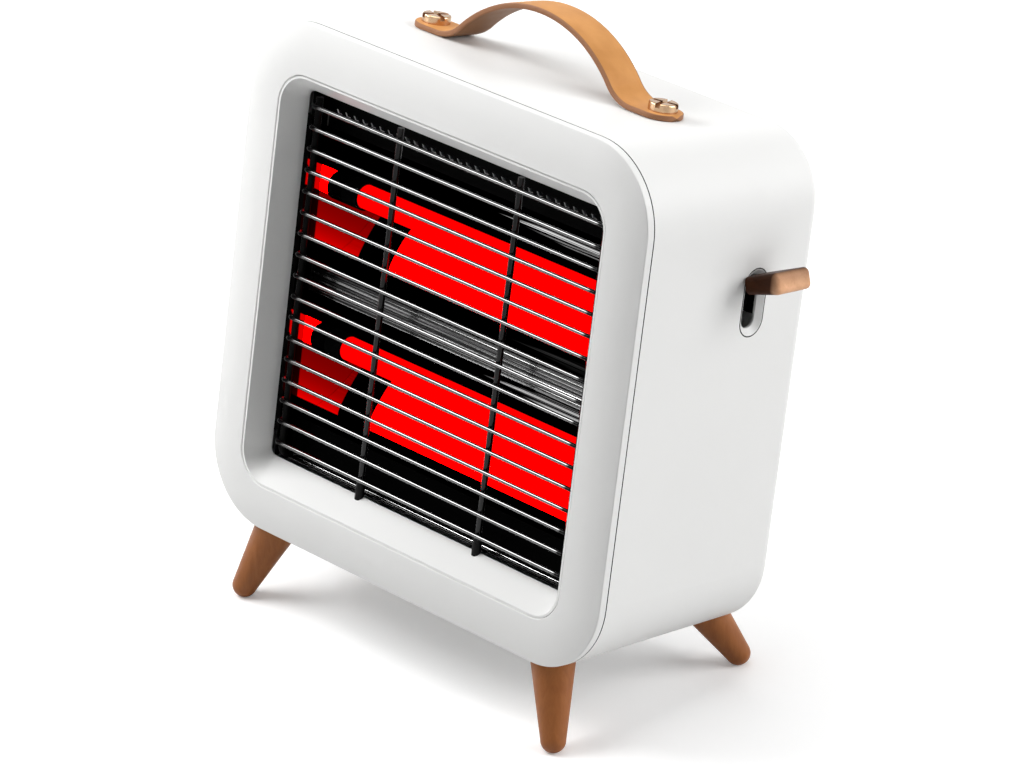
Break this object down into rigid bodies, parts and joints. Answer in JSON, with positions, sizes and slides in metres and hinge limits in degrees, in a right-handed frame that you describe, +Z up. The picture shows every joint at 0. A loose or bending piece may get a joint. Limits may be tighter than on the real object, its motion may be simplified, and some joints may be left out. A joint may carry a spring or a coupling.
{
  "type": "radiant heater",
  "caption": "Small floor-standing radiant heater with a rounded housing leaning back on splayed legs, glowing tubes behind a wire grille, a carrying strap and a side toggle.",
  "frame": {"origin": "centre of the bounding box on the floor, under the feet", "axes": "+Z up, the grille faces -Y, the toggle is on the +X side"},
  "size_m": [0.3224, 0.1828, 0.3472],
  "materials": {
    "white_bezel": "satin moulded",
    "white_liner": "satin moulded",
    "white_shell": "fine satin moulded",
    "white_rear": "fine grained",
    "tan_leather": "smooth vegetable tanned, raw edge",
    "rose_gold": "polished copper plating",
    "leg_wood": "oiled",
    "paddle_wood": "oiled",
    "dark_chrome": "bright plated wire",
    "black_steel": "gloss black",
    "black_rubber": "matt",
    "trough_mirror": "polished, dark",
    "grey_strip": "rolled",
    "black_plate": "gloss black",
    "quartz_red": "glowing",
    "strand": "carbon strand",
    "dark_ceramic": "matt",
    "zinc": "zinc plated",
    "black_plastic": "moulded",
    "escutcheon_grey": "moulded",
    "brass_blade": "plain",
    "gland_white": "moulded"
  },
  "bodies": {
    "base": {"front_bezel": "white_bezel", "recess_liner": "white_liner", "main_shell": "white_shell", "rear_cover": "white_rear", "rear_cover_screws": "zinc", "liner_screws": "zinc", "carry_strap": "tan_leather", "strap_screws": "rose_gold", "strap_nuts": "zinc", "leg_front_left": "leg_wood", "leg_front_right": "leg_wood", "leg_rear_left": "leg_wood", "leg_rear_right": "leg_wood", "leg_studs": "zinc", "leg_sockets": "black_plastic", "grille_wires": "dark_chrome", "grille_posts": "black_steel", "grille_rods": "dark_chrome", "rod_bushes": "black_rubber", "reflector_upper": "trough_mirror", "reflector_lower": "trough_mirror", "end_plate_left": "trough_mirror", "end_plate_right": "trough_mirror", "centre_strip": "grey_strip", "top_baffle": "black_plate", "lower_plate": "black_plate", "bottom_flange": "grey_strip", "heat_shield": "zinc", "end_plate_screws": "zinc", "quartz_tube_upper": "quartz_red", "quartz_tube_lower": "quartz_red", "heating_strand_upper": "strand", "heating_strand_lower": "strand", "tube_caps": "dark_ceramic", "cap_terminals": "zinc", "toggle_pin": "zinc", "toggle_bracket": "zinc", "bracket_screws": "zinc", "slot_escutcheon": "escutcheon_grey", "switch_body": "black_plastic", "switch_terminals": "brass_blade", "thermal_cutout": "dark_ceramic", "tilt_housing": "black_plastic", "tilt_pin": "zinc", "terminal_block": "black_plastic", "terminal_screws": "zinc", "cord_gland": "gland_white", "gland_nut": "gland_white"},
    "lever": {"toggle_paddle": "paddle_wood", "toggle_arm": "black_steel", "dust_shield": "black_plastic"},
    "slider": {"switch_slider": "black_plastic"},
    "pendulum": {"tilt_pendulum": "zinc"}
  },
  "joints": [
    {"name": "toggle_tilt", "type": "hinge", "parent": "base", "child": "lever", "pos_m": [0.10839, 0.03461, 0.22426], "axis": [-0.044, 0.9839, -0.1735], "range_deg": [0, 40]},
    {"name": "switch_slide", "type": "slide", "parent": "base", "child": "slider", "axis": [0, 0.1736, 0.9848], "range_m": [0, 0.0097]},
    {"name": "tilt_swing", "type": "hinge", "parent": "base", "child": "pendulum", "pos_m": [-0.08124, 0.01771, 0.068], "axis": [1, 0, 0], "range_deg": [-18, 18]}
  ],
  "couplings": [
    {"joint": "switch_slide", "follows": "toggle_tilt", "m_per_rad": 0.013717}
  ]
}
